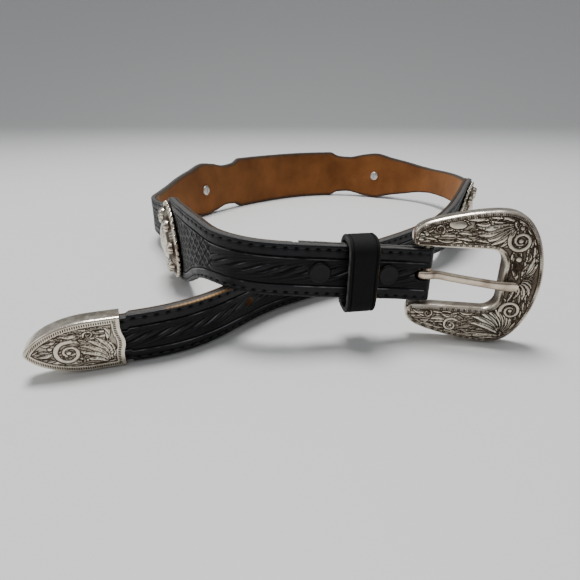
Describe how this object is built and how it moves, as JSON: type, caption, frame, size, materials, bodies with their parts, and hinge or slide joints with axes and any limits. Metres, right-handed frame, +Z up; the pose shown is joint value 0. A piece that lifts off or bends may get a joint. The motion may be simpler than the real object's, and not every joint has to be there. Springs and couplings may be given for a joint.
{
  "type": "concho belt",
  "caption": "Western leather belt standing on its edge in an open loop, with domed conchos, a cast buckle and a metal tip.",
  "frame": {"origin": "middle of the belt's bounding box, on the surface that its lower edge stands on", "axes": "+Z up; -Y towards the side with the buckle and the metal tip; +X to the buckle's side"},
  "size_m": [0.2081, 0.3006, 0.0468],
  "materials": {
    "black_leather": "satin black tooled leather with fuzzy grey edges",
    "brown_suede": "matt brown suede",
    "nickel_silver": "antiqued, dark in the engraving, bright on the edges",
    "prong_metal": "polished, slightly yellow",
    "screw_metal": "nickel plate",
    "black_enamel": "semi-gloss black, worn at the rim"
  },
  "bodies": {
    "root": {"strap": "black_leather", "lining": "brown_suede", "keeper": "black_leather", "belt_tip": "nickel_silver", "snap_cap_1": "black_enamel", "snap_cap_2": "black_enamel", "snap_stud_1": "screw_metal", "snap_stud_2": "screw_metal", "concho_1": "nickel_silver", "concho_2": "nickel_silver", "concho_3": "nickel_silver", "concho_4": "nickel_silver", "concho_screw_1": "screw_metal", "concho_screw_2": "screw_metal", "concho_screw_3": "screw_metal", "concho_screw_4": "screw_metal"},
    "buckle_frame": {"buckle": "nickel_silver"},
    "tongue": {"prong": "prong_metal"}
  },
  "joints": [
    {"name": "buckle_swing", "type": "hinge", "parent": "root", "child": "buckle_frame", "pos_m": [0.0258, -0.1191, 0.0234], "axis": [0, 0, 1], "range_deg": [-30, 100]},
    {"name": "prong_swing", "type": "hinge", "parent": "buckle_frame", "child": "tongue", "pos_m": [0.0258, -0.1191, 0.0234], "axis": [0, 0, 1], "range_deg": [-60, 0]}
  ]
}
